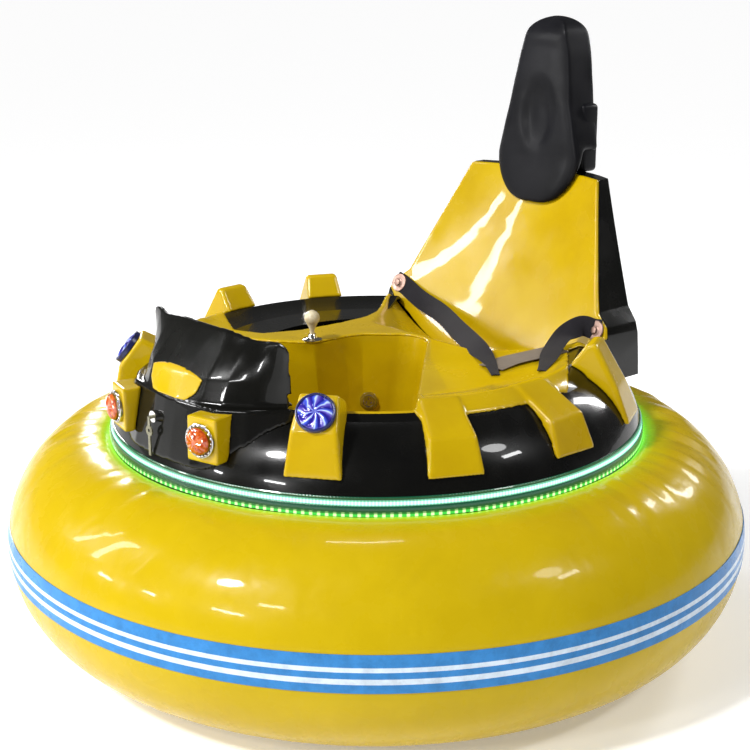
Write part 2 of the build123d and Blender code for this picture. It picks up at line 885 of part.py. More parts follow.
for side, sign in sides:
    with BuildPart() as motor:
        with BuildSketch(Plane.YZ.offset(sign * motor_inner_x)):
            with Locations((wheel_y, wheel_radius)):
                Circle(motor_radius)
        extrude(amount=sign * (gearbox_inner_x - motor_inner_x))
        with BuildSketch(Plane.YZ.offset(sign * gearbox_inner_x)):
            with Locations((wheel_y, wheel_radius)):
                Rectangle(gearbox_y, gearbox_z)
        extrude(amount=sign * (gearbox_outer_x - gearbox_inner_x))
        with BuildSketch(Plane.YZ.offset(sign * gearbox_outer_x)):
            with Locations((wheel_y, wheel_radius)):
                Circle(shaft_radius + shaft_play)
        extrude(amount=sign * (shaft_inner_x - shaft_end_gap - gearbox_outer_x), mode=Mode.SUBTRACT)
    motor.part.label = f"drive_motor_{side}"
    export_step(motor.part, f"parts/drive_motor_{side}.step")
    with BuildPart() as tyre:
        with BuildSketch(Plane.YZ.offset(sign * (wheel_x - wheel_width / 2))):
            with Locations((wheel_y, wheel_radius)):
                Circle(wheel_radius)
                Circle(hub_radius, mode=Mode.SUBTRACT)
        extrude(amount=sign * wheel_width)
    tyre.part.label = f"drive_tyre_{side}"
    export_step(tyre.part, f"parts/drive_tyre_{side}.step")
    with BuildPart() as hub:
        with BuildSketch(Plane.YZ.offset(sign * (wheel_x - wheel_width / 2))):
            with Locations((wheel_y, wheel_radius)):
                Circle(hub_radius)
        extrude(amount=sign * wheel_width)
        with BuildSketch(Plane.YZ.offset(sign * shaft_inner_x)):
            with Locations((wheel_y, wheel_radius)):
                Circle(shaft_radius)
        extrude(amount=sign * (wheel_x - shaft_inner_x))
    hub.part.label = f"drive_hub_{side}"
    export_step(hub.part, f"parts/drive_hub_{side}.step")

fork_half = caster_wheel_width / 2 + fork_side
fork_high = caster_pad_low - caster_boss_drop - fork_play
for end, king_y in casters:
    axle_y = king_y + caster_trail
    with BuildPart() as fork:
        with BuildSketch(Plane.YZ.offset(-fork_half)):
            with BuildLine():
                Polyline(
                    (king_y - 26, fork_high),
                    (king_y + 26, fork_high),
                    (axle_y + 14, caster_wheel_radius),
                    (axle_y + 10, caster_wheel_radius - 14),
                    (axle_y - 10, caster_wheel_radius - 14),
                    (king_y - 26, fork_high - 18),
                    close=True,
                )
            make_face()
        extrude(amount=2 * fork_half)
        with Locations((0, axle_y, 0)):
            Box(
                caster_wheel_width + 2 * fork_gap,
                4 * caster_wheel_radius,
                fork_high - fork_crown,
                align=(Align.CENTER, Align.CENTER, Align.MIN),
                mode=Mode.SUBTRACT,
            )
        with Locations((0, king_y, fork_high - fork_play)):
            Cylinder(
                pin_radius,
                plate_low_z - fork_high + fork_play - 1,
                align=(Align.CENTER, Align.CENTER, Align.MIN),
            )
        with BuildSketch(Plane.YZ.offset(-fork_half)):
            with Locations((axle_y, caster_wheel_radius)):
                Circle(axle_radius)
        extrude(amount=2 * fork_half)
    fork.part.label = f"caster_fork_{end}"
    export_step(fork.part, f"parts/caster_fork_{end}.step")
    with BuildPart() as roller:
        with BuildSketch(Plane.YZ.offset(-caster_wheel_width / 2)):
            with Locations((axle_y, caster_wheel_radius)):
                Circle(caster_wheel_radius)
                Circle(axle_radius + pin_play, mode=Mode.SUBTRACT)
        extrude(amount=caster_wheel_width)
    roller.part.label = f"caster_wheel_{end}"
    export_step(roller.part, f"parts/caster_wheel_{end}.step")

# --- seat belt --------------------------------------------------------------------------------

belt_thick = 3
belt_half = 25
anchor_x = 352
anchor_z = 728
anchor_radius = 23
anchor_thick = 5
# columns: side word, end of the strap on the seat's foot, end at its anchor
straps = [
    ("left", (214, 630), (anchor_x, anchor_z)),
    ("right", (62, 606), (-anchor_x, anchor_z)),
]
for side, foot, top in straps:
    run = Vector(top[0] - foot[0], top[1] - foot[1]).normalized()
    across = Vector(-run.Y, run.X) * belt_half
    with BuildPart() as belt:
        add(trough(-belt_thick, 0))
        with BuildSketch(Plane.XZ):
            with BuildLine():
                Polyline(
                    (foot[0] + across.X, foot[1] + across.Y),
                    (foot[0] - across.X, foot[1] - across.Y),
                    (top[0] - across.X, top[1] - across.Y),
                    (top[0] + across.X, top[1] + across.Y),
                    close=True,
                )
            make_face()
        extrude(amount=-cut_reach, mode=Mode.INTERSECT)
        add(back_prism, mode=Mode.INTERSECT)
        add(deck.part, mode=Mode.SUBTRACT)
        add(shoulder.part, mode=Mode.SUBTRACT)
    belt.part.label = f"seat_belt_{side}"
    export_step(belt.part, f"parts/seat_belt_{side}.step")
    with BuildPart() as anchor:
        add(trough(-belt_thick - anchor_thick, -belt_thick))
        with BuildSketch(Plane.XZ):
            with Locations(top):
                Circle(anchor_radius)
        extrude(amount=-cut_reach, mode=Mode.INTERSECT)
    anchor.part.label = f"belt_anchor_{side}"
    export_step(anchor.part, f"parts/belt_anchor_{side}.step")
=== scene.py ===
import json
from math import atan2, cos, hypot, pi, radians, sin

import bmesh
import bpy
from mathutils import Matrix, Vector, noise as rippleNoise


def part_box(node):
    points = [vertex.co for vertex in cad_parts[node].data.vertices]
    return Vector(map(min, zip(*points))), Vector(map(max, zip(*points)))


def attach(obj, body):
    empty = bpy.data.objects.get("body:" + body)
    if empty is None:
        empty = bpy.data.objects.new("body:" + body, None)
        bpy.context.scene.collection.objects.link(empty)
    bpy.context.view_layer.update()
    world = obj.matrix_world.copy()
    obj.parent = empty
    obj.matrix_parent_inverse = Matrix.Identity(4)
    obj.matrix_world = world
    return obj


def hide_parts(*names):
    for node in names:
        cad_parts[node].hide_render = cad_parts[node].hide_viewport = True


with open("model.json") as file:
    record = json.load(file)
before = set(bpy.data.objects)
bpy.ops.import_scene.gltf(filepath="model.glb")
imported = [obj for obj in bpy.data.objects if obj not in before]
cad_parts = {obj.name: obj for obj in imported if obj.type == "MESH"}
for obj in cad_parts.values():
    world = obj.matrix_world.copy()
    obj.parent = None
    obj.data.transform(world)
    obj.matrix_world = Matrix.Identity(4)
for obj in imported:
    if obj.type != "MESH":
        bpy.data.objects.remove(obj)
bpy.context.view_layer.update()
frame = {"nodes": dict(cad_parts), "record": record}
nodes = frame["nodes"]
print("frame loaded:", len(nodes), "nodes")


# finishes

def newFinish(name, colour, roughness, coat=0.0, coatRoughness=0.05, specular=0.5, metallic=0.0):
    finish = bpy.data.materials.new(name)
    finish.use_nodes = True
    shader = finish.node_tree.nodes["Principled BSDF"]
    shader.inputs["Base Color"].default_value = (*colour, 1)
    shader.inputs["Roughness"].default_value = roughness
    shader.inputs["Metallic"].default_value = metallic
    shader.inputs["Coat Weight"].default_value = coat
    shader.inputs["Coat Roughness"].default_value = coatRoughness
    shader.inputs["Specular IOR Level"].default_value = specular
    return finish


def shaderOf(finish):
    return finish.node_tree.nodes["Principled BSDF"]


def addNode(finish, kind, **settings):
    node = finish.node_tree.nodes.new(kind)
    for key, value in settings.items():
        setattr(node, key, value)
    return node


def link(finish, start, startSocket, end, endSocket):
    finish.node_tree.links.new(start.outputs[startSocket], end.inputs[endSocket])


def place(finish, source="Object", stretch=(1, 1, 1), shift=(0, 0, 0)):
    where = addNode(finish, "ShaderNodeTexCoord")
    turn = addNode(finish, "ShaderNodeMapping")
    turn.inputs["Scale"].default_value = stretch
    turn.inputs["Location"].default_value = shift
    link(finish, where, source, turn, "Vector")
    return turn


def grain(finish, scale, detail=3.0, roughness=0.5, distortion=0.0, source="Object", stretch=(1, 1, 1)):
    speckle = addNode(finish, "ShaderNodeTexNoise")
    speckle.inputs["Scale"].default_value = scale
    speckle.inputs["Detail"].default_value = detail
    speckle.inputs["Roughness"].default_value = roughness
    speckle.inputs["Distortion"].default_value = distortion
    link(finish, place(finish, source, stretch), "Vector", speckle, "Vector")
    return speckle


def sums(finish, operation, first, firstSocket, second, secondSocket=None):
    result = addNode(finish, "ShaderNodeMath", operation=operation)
    link(finish, first, firstSocket, result, 0)
    if secondSocket is None:
        result.inputs[1].default_value = second
    else:
        link(finish, second, secondSocket, result, 1)
    return result


def multiplied(finish, first, firstSocket, second, secondSocket):
    blend = addNode(finish, "ShaderNodeMix", data_type="RGBA", blend_type="MULTIPLY")
    blend.inputs["Factor"].default_value = 1.0
    link(finish, first, firstSocket, blend, 6)
    link(finish, second, secondSocket, blend, 7)
    return blend


def span(finish, source, socket, low, high):
    share = addNode(finish, "ShaderNodeMapRange")
    share.inputs["From Min"].default_value = low
    share.inputs["From Max"].default_value = high
    link(finish, source, socket, share, "Value")
    return share


def heightSpan(finish, low, high):
    split = addNode(finish, "ShaderNodeSeparateXYZ")
    link(finish, place(finish), "Vector", split, "Vector")
    return span(finish, split, "Z", low, high)


def shades(finish, source, socket, stops, interpolation="LINEAR"):
    ramp = addNode(finish, "ShaderNodeValToRGB")
    ramp.color_ramp.interpolation = interpolation
    while len(ramp.color_ramp.elements) < len(stops):
        ramp.color_ramp.elements.new(0.5)
    for element, (position, colour) in zip(ramp.color_ramp.elements, stops):
        element.position = position
        element.color = (*colour, 1)
    link(finish, source, socket, ramp, "Fac")
    return ramp


def mottle(finish, stops, speckle):
    ramp = shades(finish, speckle, "Fac", stops)
    link(finish, ramp, "Color", shaderOf(finish), "Base Color")


def roughen(finish, speckle, low, high):
    spread = span(finish, speckle, "Fac", 0.3, 0.7)
    spread.inputs["To Min"].default_value = low
    spread.inputs["To Max"].default_value = high
    link(finish, spread, "Result", shaderOf(finish), "Roughness")


def bump(finish, height, socket, strength, distance, after=None):
    relief = addNode(finish, "ShaderNodeBump")
    relief.inputs["Strength"].default_value = strength
    relief.inputs["Distance"].default_value = distance
    link(finish, height, socket, relief, "Height")
    if after:
        link(finish, after, "Normal", relief, "Normal")
    link(finish, relief, "Normal", shaderOf(finish), "Normal")
    return relief


# gelcoat: deep gloss over a slow swell left by the mould, fine scratches and a fine grain
def gelcoat(name, stops, coat, specular, swell=0.35, scratch=0.08):
    finish = newFinish(name, stops[-1][1], 0.2, coat=coat, coatRoughness=0.03, specular=specular)
    mottle(finish, stops, grain(finish, 2.6, 6.0, 0.6))
    roughen(finish, grain(finish, 9.0, 5.0), 0.14, 0.34)
    slow = bump(finish, grain(finish, 5.0, 1.5), "Fac", swell, 0.01)
    lines = grain(finish, 60.0, 2.0, 0.6, 0.4, stretch=(1, 1, 9))
    fine = bump(finish, lines, "Fac", scratch, 0.0008, slow)
    bump(finish, grain(finish, 420.0, 2.0), "Fac", 0.05, 0.0003, fine)
    return finish


yellowGelcoat = gelcoat(
    "yellow_gelcoat",
    [(0.30, (0.42, 0.265, 0.001)), (0.48, (0.49, 0.325, 0.001)), (0.70, (0.54, 0.37, 0.002))],
    coat=0.4,
    specular=0.2,
)
blackGelcoat = gelcoat(
    "black_gelcoat",
    [(0.35, (0.002, 0.002, 0.002)), (0.62, (0.005, 0.005, 0.004))],
    coat=0.4,
    specular=0.12,
    swell=0.5,
)


# vinyl: slack gloss, and a painted glow: the LED strip's green light painted on the skin as emission where it
# meets the ledge
paintedLedGlow = {
    "start": 0.648,  # radius where the light is strongest
    "end": 0.73,
    "above": 0.44,  # height below which no light falls
    "fades": [
        (0.0, (0.03, 0.75, 0.05)), (0.12, (0.02, 0.42, 0.02)), (0.42, (0.006, 0.08, 0.0)), (1.0, (0, 0, 0)),
    ],
}


def vinyl():
    finish = newFinish("tube_vinyl", (0.47, 0.33, 0.004), 0.25, coat=0.16, coatRoughness=0.04, specular=0.08)
    mottle(
        finish,
        [(0.25, (0.42, 0.285, 0.002)), (0.5, (0.47, 0.328, 0.003)), (0.75, (0.52, 0.37, 0.005))],
        grain(finish, 2.2, 7.0, 0.62),
    )
    roughen(finish, grain(finish, 14.0, 5.0), 0.18, 0.36)
    slack = bump(finish, grain(finish, 7.0, 2.5, 0.5, 0.6), "Fac", 0.4, 0.012)
    bump(finish, grain(finish, 380.0, 2.0), "Fac", 0.08, 0.0004, slack)
    # painted glow: green emission, strongest at the tuck and fading outwards, stands in for the LED strip's
    # light on the skin
    flat = place(finish, stretch=(1, 1, 0))
    away = addNode(finish, "ShaderNodeVectorMath", operation="LENGTH")
    link(finish, flat, "Vector", away, 0)
    reach = span(finish, away, "Value", paintedLedGlow["start"], paintedLedGlow["end"])
    split = addNode(finish, "ShaderNodeSeparateXYZ")
    link(finish, place(finish), "Vector", split, "Vector")
    upper = sums(finish, "GREATER_THAN", split, "Z", paintedLedGlow["above"])
    fading = shades(finish, reach, "Result", paintedLedGlow["fades"])
    lit = multiplied(finish, fading, "Color", upper, "Value")
    link(finish, lit, 2, shaderOf(finish), "Emission Color")
    shaderOf(finish).inputs["Emission Strength"].default_value = 1.0
    return finish


tubeVinyl = vinyl()

stripes = {
    "low": 0.232,
    "high": 0.313,
    "blue": (0.040, 0.215, 0.52),
    "white": (0.62, 0.72, 0.82),
    "edges": (0.24, 0.39, 0.56, 0.68),  # where blue and white change, as shares of the height
}


def stripeVinyl():
    finish = newFinish("stripe_blue", stripes["blue"], 0.3, coat=0.12, coatRoughness=0.06, specular=0.08)
    height = heightSpan(finish, stripes["low"], stripes["high"])
    stops = [(0.0, stripes["blue"])]
    for count, edge in enumerate(stripes["edges"]):
        stops.append((edge, stripes["white"] if count % 2 == 0 else stripes["blue"]))
    ramp = shades(finish, height, "Result", stops, "CONSTANT")
    wear = shades(finish, grain(finish, 30.0, 6.0, 0.7), "Fac", [(0.3, (0.72, 0.72, 0.72)), (0.6, (1, 1, 1))])
    worn = multiplied(finish, ramp, "Color", wear, "Color")
    link(finish, worn, 2, shaderOf(finish), "Base Color")
    roughen(finish, grain(finish, 20.0, 4.0), 0.22, 0.4)
    bump(finish, grain(finish, 7.0, 2.5, 0.5, 0.6), "Fac", 0.3, 0.008)
    return finish


stripeBlue = stripeVinyl()

# LED strips: a row of bright dots along a flat tape
leds = {
    "upperDots": 560,
    "upperLow": 0.5262,
    "upperHigh": 0.5345,
    "upperStrength": 2.6,
    "mint": (0.42, 1.0, 0.72),
    "mintEdge": (0.25, 0.8, 0.5),
    "lowerDots": 240,
    "lowerLow": 0.5005,
    "lowerHigh": 0.5082,
    "lowerStrength": 1.7,
    "green": (0.60, 1.0, 0.36),
    "greenEdge": (0.03, 0.42, 0.04),
    "rim": 0.12,  # share of the tape's height that dims towards each edge
    "dim": (0.25,) * 3,
    "full": (1.0,) * 3,
}


def dots(finish, count):
    around = addNode(finish, "ShaderNodeTexGradient", gradient_type="RADIAL")
    link(finish, place(finish), "Vector", around, "Vector")
    turns = sums(finish, "MULTIPLY", around, "Fac", count * 2 * pi)
    return sums(finish, "COSINE", turns, "Value", 0.0)


def ledTape(name, count, edge, core, strength, low, high):
    finish = newFinish(name, (0.02, 0.05, 0.03), 0.3)
    beads = shades(finish, dots(finish, count), "Value", [(0.0, edge), (0.55, core)])
    height = heightSpan(finish, low, high)
    rim, dim, full = leds["rim"], leds["dim"], leds["full"]
    band = shades(finish, height, "Result", [(0.0, dim), (rim, full), (1 - rim, full), (1.0, dim)])
    tape = multiplied(finish, beads, "Color", band, "Color")
    link(finish, tape, 2, shaderOf(finish), "Emission Color")
    shaderOf(finish).inputs["Emission Strength"].default_value = strength
    return finish


ledMint = ledTape(
    "led_mint", leds["upperDots"], leds["mintEdge"], leds["mint"], leds["upperStrength"],
    leds["upperLow"], leds["upperHigh"],
)
ledGreen = ledTape(
    "led_green", leds["lowerDots"], leds["greenEdge"], leds["green"], leds["lowerStrength"],
    leds["lowerLow"], leds["lowerHigh"],
)


def foamSkin():
    finish = newFinish(
        "headrest_foam", (0.012, 0.012, 0.014), 0.42, coat=0.03, coatRoughness=0.2, specular=0.09,
    )
    mottle(finish, [(0.35, (0.003, 0.003, 0.004)), (0.65, (0.008, 0.008, 0.010))], grain(finish, 6.0, 5.0))
    roughen(finish, grain(finish, 16.0, 4.0), 0.32, 0.5)
    swell = bump(finish, grain(finish, 9.0, 2.0), "Fac", 0.3, 0.006)
    bump(finish, grain(finish, 520.0, 3.0), "Fac", 0.2, 0.0006, swell)
    return finish


headrestFoam = foamSkin()


def metal(name, dark, light, roughness, scale):
    finish = newFinish(name, light, roughness, metallic=1.0)
    mottle(finish, [(0.35, dark), (0.65, light)], grain(finish, scale, 6.0))
    roughen(finish, grain(finish, scale * 2, 5.0), roughness * 0.7, roughness * 1.6)
    bump(finish, grain(finish, 300.0, 2.0, stretch=(1, 1, 6)), "Fac", 0.08, 0.0003)
    return finish


chromeTrim = metal("chrome_trim", (0.5, 0.49, 0.47), (0.78, 0.77, 0.75), 0.12, 20)
anchorSteel = metal("anchor_steel", (0.24, 0.15, 0.12), (0.46, 0.31, 0.26), 0.42, 45)
hubAlloy = metal("hub_alloy", (0.32, 0.32, 0.33), (0.56, 0.56, 0.58), 0.4, 18)


def painted(name, dark, light, roughness, scale=12.0):
    finish = newFinish(name, light, roughness)
    mottle(finish, [(0.35, dark), (0.6, light)], grain(finish, scale, 6.0, 0.65))
    roughen(finish, grain(finish, scale * 2.5, 5.0), roughness * 0.8, min(1.0, roughness * 1.35))
    bump(finish, grain(finish, 260.0, 3.0), "Fac", 0.18, 0.0006)
    return finish


frameSteel = painted("frame_steel", (0.03, 0.03, 0.032), (0.07, 0.07, 0.075), 0.45)
batteryCase = painted("battery_case", (0.035, 0.035, 0.04), (0.06, 0.06, 0.07), 0.55)
motorPaint = painted("motor_paint", (0.06, 0.06, 0.065), (0.11, 0.11, 0.12), 0.42)
tyreRubber = painted("tyre_rubber", (0.012, 0.012, 0.012), (0.032, 0.031, 0.03), 0.8, 30.0)
leverCream = painted("lever_cream", (0.50, 0.42, 0.26), (0.70, 0.62, 0.44), 0.22, 60.0)


def amber():
    finish = newFinish("amber_lens", (0.75, 0.09, 0.012), 0.1, coat=1.0, coatRoughness=0.02)
    mottle(
        finish,
        [(0.32, (0.24, 0.012, 0.003)), (0.5, (0.46, 0.07, 0.004)), (0.66, (0.62, 0.17, 0.02))],
        grain(finish, 70.0, 3.0, 0.6, 0.5),
    )
    shader = shaderOf(finish)
    shader.inputs["Emission Color"].default_value = (0.8, 0.08, 0.01, 1)
    shader.inputs["Emission Strength"].default_value = 0.05
    bump(finish, grain(finish, 240.0, 1.0), "Fac", 0.25, 0.001)
    return finish


amberLens = amber()


discBlades = 8


def discGlass():
    finish = newFinish("disc_lens", (0.1, 0.15, 0.8), 0.08, coat=1.0, coatRoughness=0.02)
    where = place(finish, "UV", shift=(-0.5, -0.5, 0))
    around = addNode(finish, "ShaderNodeTexGradient", gradient_type="RADIAL")
    link(finish, where, "Vector", around, "Vector")
    away = addNode(finish, "ShaderNodeVectorMath", operation="LENGTH")
    link(finish, where, "Vector", away, 0)
    twist = sums(finish, "MULTIPLY", away, "Value", 1.4)
    blades = sums(finish, "MULTIPLY", around, "Fac", discBlades)
    swirl = sums(finish, "ADD", blades, "Value", twist, "Value")
    broken = sums(finish, "MULTIPLY", grain(finish, 34.0, 2.0), "Fac", 0.9)
    bent = sums(finish, "ADD", swirl, "Value", broken, "Value")
    part = sums(finish, "FRACT", bent, "Value", 0.0)
    ramp = shades(
        finish, part, "Value",
        [(0.0, (0.55, 0.75, 1.0)), (0.12, (0.06, 0.10, 0.62)), (0.40, (0.004, 0.006, 0.20)),
         (0.66, (0.03, 0.015, 0.26)), (0.88, (0.12, 0.10, 0.46)), (1.0, (0.45, 0.55, 0.9))],
    )
    link(finish, ramp, "Color", shaderOf(finish), "Base Color")
    link(finish, ramp, "Color", shaderOf(finish), "Emission Color")
    shaderOf(finish).inputs["Emission Strength"].default_value = 0.15
    bump(finish, grain(finish, 90.0, 2.0), "Fac", 0.5, 0.002)
    return finish


discLens = discGlass()
discRim = painted("disc_rim", (0.01, 0.012, 0.06), (0.02, 0.025, 0.12), 0.2, 30.0)


# webbing: ribs across the strap and a twill along it, read from the strap's own map
def strapCloth(name, dark, light, across, along):
    finish = newFinish(name, light, 0.72, specular=0.12)
    shaderOf(finish).inputs["Sheen Weight"].default_value = 0.06
    ribs = addNode(finish, "ShaderNodeTexWave", wave_type="BANDS", bands_direction="Y")
    ribs.inputs["Scale"].default_value = 1.0
    ribs.inputs["Distortion"].default_value = 0.4
    link(finish, place(finish, "UV", (across, along, 1)), "Vector", ribs, "Vector")
    twill = addNode(finish, "ShaderNodeTexWave", wave_type="BANDS", bands_direction="DIAGONAL")
    twill.inputs["Scale"].default_value = 1.0
    link(finish, place(finish, "UV", (across * 2, along * 2, 1)), "Vector", twill, "Vector")
    fuzz = grain(finish, 9.0, 6.0, 0.7)
    weave = sums(finish, "MULTIPLY", ribs, "Fac", twill, "Fac")
    tone = sums(finish, "ADD", weave, "Value", fuzz, "Fac")
    half = sums(finish, "MULTIPLY", tone, "Value", 0.5)
    ramp = shades(finish, half, "Value", [(0.15, dark), (0.7, light)])
    link(finish, ramp, "Color", shaderOf(finish), "Base Color")
    bump(finish, weave, "Value", 0.5, 0.001)
    return finish


webbing = strapCloth("webbing", (0.004, 0.004, 0.005), (0.026, 0.023, 0.030), 5, 46)
flapCloth = strapCloth("flap_webbing", (0.12, 0.095, 0.07), (0.26, 0.21, 0.165), 5, 30)

keyNickel = metal("key_nickel", (0.16, 0.15, 0.10), (0.34, 0.33, 0.25), 0.42, 60)

finishOf = {
    "tube_vinyl": tubeVinyl,
    "stripe_blue": stripeBlue,
    "black_gelcoat": blackGelcoat,
    "yellow_gelcoat": yellowGelcoat,
    "headrest_foam": headrestFoam,
    "led_mint": ledMint,
    "led_green": ledGreen,
    "chrome_trim": chromeTrim,
    "amber_lens": amberLens,
    "disc_lens": discRim,
    "lever_cream": leverCream,
    "webbing": webbing,
    "anchor_steel": anchorSteel,
    "frame_steel": frameSteel,
    "battery_case": batteryCase,
    "motor_paint": motorPaint,
    "tyre_rubber": tyreRubber,
    "hub_alloy": hubAlloy,
}
slotOf = {part["node"]: part["material_slot"] for part in frame["record"]["subparts"]}
for name, node in nodes.items():
    node.data.materials.clear()
    node.data.materials.append(finishOf[slotOf[name]])
nodes["key"].data.materials[0] = keyNickel
print("finishes mixed:", len(finishOf))


# bench work

def deselect():
    if bpy.context.mode != "OBJECT":
        bpy.ops.object.mode_set(mode="OBJECT")
    bpy.ops.object.select_all(action="DESELECT")


def pick(piece):
    deselect()
    piece.select_set(True)
    bpy.context.view_layer.objects.active = piece


def applyAll(piece):
    pick(piece)
    for modifier in list(piece.modifiers):
        bpy.ops.object.modifier_apply(modifier=modifier.name)


def bakePlace(piece):
    pick(piece)
    bpy.ops.object.transform_apply(location=True, rotation=True, scale=True)


def settle(piece, name, finish, angle=None):
    bakePlace(piece)
    piece.name = name
    piece.data.name = name
    piece.data.materials.clear()
    piece.data.materials.append(finish)
    if angle is None:
        bpy.ops.object.shade_smooth()
    else:
        bpy.ops.object.shade_smooth_by_angle(angle=radians(angle))
    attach(piece, "car_body")


def outward(piece):
    pick(piece)
    bpy.ops.object.mode_set(mode="EDIT")
    bpy.ops.mesh.select_all(action="SELECT")
    bpy.ops.mesh.remove_doubles(threshold=0.00002)
    bpy.ops.mesh.normals_make_consistent(inside=False)
    bpy.ops.object.mode_set(mode="OBJECT")


def joined(pieces):
    deselect()
    for piece in pieces:
        piece.select_set(True)
    bpy.context.view_layer.objects.active = pieces[0]
    bpy.ops.object.join()
    return pieces[0]


# a moulded skin made from a copy of a CAD solid: merged, remeshed, relaxed until its edges are round, thinned
def moulded(nodeName, name, finish, voxel, passes, keep):
    source = nodes[nodeName]
    piece = bpy.data.objects.new(name, source.data.copy())
    bpy.context.scene.collection.objects.link(piece)
    outward(piece)
    remesh = piece.modifiers.new("remesh", "REMESH")
    remesh.mode = "VOXEL"
    remesh.voxel_size = voxel
    relax = piece.modifiers.new("relax", "SMOOTH")
    relax.factor = 0.5
    relax.iterations = passes
    thin = piece.modifiers.new("thin", "DECIMATE")
    thin.ratio = keep
    applyAll(piece)
    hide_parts(nodeName)
    settle(piece, name, finish)


# places with their third axis standing out of a surface
def standing(spot, across, up, out):
    return Matrix.Translation(spot) @ Matrix((across, up, out)).transposed().to_4x4()


def standingOn(spot, face):
    across = Vector((0, 0, 1)).cross(face).normalized()
    return standing(spot, across, face.cross(across), face)


# inflated tube
tubeShape = {
    "ring": 0.670,
    "half": 0.228,
    "tall": 0.243,
    "centre": 0.262,
    "around": 900,
    "section": 100,
    "wall": 0.4486,
    "tuckRadius": 0.6462,
    "tuckBlend": 0.010,
    "tuckTop": 0.4936,
    "floor": 0.0192,
    "puckers": 150,
    "pucker": 0.0105,
    "puckersFrom": 0.08,  # rise above the centre line where puckers begin
    "puckersOver": 0.12,  # further rise over which they reach their depth
    "grow": 0.05,  # reach out from the tuck at which they are full
    "fade": (0.10, 0.20),  # reaches between which they die away
    "foldsFace": 0.73,  # angle that turns the two opposite sides with the deepest folds
    "foldSides": (0.45, 0.88),
    "shallow": 0.22,  # share of the depth left between those sides
    "foldDrift": (9, 1.6),  # noise scale round the tube, strength
    "fineRipple": (26, 0.7),  # the same
    "patches": (1.7, -0.25, 0.35),  # noise scale, and the noise where a patch starts and is full
    "slack": 0.0035,
    "wideSlack": (3.2, 0.55),  # noise scale, share
    "fineSlack": (7.0, 0.3),  # the same
    "slackFrom": (-0.2, -0.12),  # heights from the centre line between which slack sets in
    "wallFree": (0.9, 1.0),  # lean towards the drum over which it dies away
}


def smooth(low, high, value):
    share = max(0.0, min(1.0, (value - low) / (high - low)))
    return share * share * (3 - 2 * share)


def ripple(angle, around, along, shift=0):
    spot = Vector((cos(angle) * around, sin(angle) * around, along))
    return rippleNoise.noise(spot + Vector((0, 0, shift)))


def buildTube():
    shape = tubeShape
    drift, driftStrength = shape["foldDrift"]
    fineRound, fineStrength = shape["fineRipple"]
    patchRound, patchLow, patchHigh = shape["patches"]
    wideRound, wideStrength = shape["wideSlack"]
    drapeRound, drapeStrength = shape["fineSlack"]
    deselect()
    bpy.ops.mesh.primitive_torus_add(
        major_segments=shape["around"],
        minor_segments=shape["section"],
        major_radius=shape["ring"],
        minor_radius=shape["half"],
        location=(0, 0, shape["centre"]),
    )
    tube = bpy.context.object
    bpy.ops.object.mode_set(mode="EDIT")
    bpy.ops.mesh.select_all(action="SELECT")
    bpy.ops.transform.resize(value=(1, 1, shape["tall"] / shape["half"]))
    bpy.ops.object.mode_set(mode="OBJECT")
    bakePlace(tube)
    for vertex in tube.data.vertices:
        x, y, z = vertex.co
        away = hypot(x, y)
        angle = atan2(y, x)
        lift = z - shape["centre"]
        slope = Vector(((away - shape["ring"]) / shape["half"] ** 2, 0, lift / shape["tall"] ** 2))
        slope = slope.normalized()
        # puckers run out from the tuck and die away down the side
        reach = away - shape["tuckRadius"]
        upper = smooth(0.0, shape["puckersOver"], lift - shape["puckersFrom"])
        facing = smooth(*shape["foldSides"], abs(sin(angle + shape["foldsFace"])))
        share = shape["shallow"] + (1 - shape["shallow"]) * facing
        fade = smooth(0.0, shape["grow"], reach) * (1 - smooth(*shape["fade"], reach)) * share * upper
        along = angle * shape["puckers"] / (2 * pi)
        folds = ripple(angle, drift, reach * 6, shift=3) * driftStrength
        fine = ripple(angle, fineRound, reach * 5)
        ridge = abs(sin(along * pi + folds * 1.7)) - 0.6 + fineStrength * fine
        patch = smooth(patchLow, patchHigh, ripple(angle, patchRound, 5.0))
        depth = shape["pucker"] * fade * (0.25 + 0.75 * patch) * ridge
        # the skin is a little slack, but not at its foot or against the drum
        wide = ripple(angle, wideRound, z * 4.5)
        drape = ripple(angle, drapeRound, z * 9.0)
        free = smooth(*shape["slackFrom"], lift) * (1 - smooth(*shape["wallFree"], -slope.x))
        loose = wideStrength * wide + drapeStrength * drape
        depth += shape["slack"] * loose * free * (0.35 + 0.65 * upper)
        away += slope.x * depth
        z += slope.z * depth
        # the skin lies against the drum inside and under the ledge on top
        away = max(away, shape["wall"])
        if lift > 0.1:
            tuck = 1 - smooth(shape["tuckRadius"], shape["tuckRadius"] + shape["tuckBlend"], away)
            z = z + (min(z, shape["tuckTop"]) - z) * tuck
        vertex.co = (away * cos(angle), away * sin(angle), max(z, shape["floor"]))
    settle(tube, "inflated_tube", tubeVinyl)
    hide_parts("bumper_tube")


buildTube()
print("tube inflated")


# moulded cockpit pieces with their edges eased
mouldings = [
    # node, name, finish, voxel, passes, share of faces kept
    ("disc_post_left", "post_moulding_left", yellowGelcoat, 0.003, 7, 0.6),
    ("disc_post_right", "post_moulding_right", yellowGelcoat, 0.003, 7, 0.6),
    ("side_tooth_right", "side_tooth_moulding", yellowGelcoat, 0.003, 18, 0.6),
    ("rear_tooth_left", "rear_tooth_moulding_left", yellowGelcoat, 0.003, 18, 0.6),
    ("rear_tooth_right", "rear_tooth_moulding_right", yellowGelcoat, 0.003, 18, 0.6),
    ("hood", "hood_moulding", blackGelcoat, 0.003, 11, 0.4),
    ("nose_patch", "nose_moulding", yellowGelcoat, 0.0025, 22, 0.5),
    ("lamp_block_left", "lamp_moulding_left", yellowGelcoat, 0.003, 16, 0.6),
    ("lamp_block_right", "lamp_moulding_right", yellowGelcoat, 0.003, 16, 0.6),
]
for moulding in mouldings:
    moulded(*moulding)
print("cockpit pieces moulded:", len(mouldings))

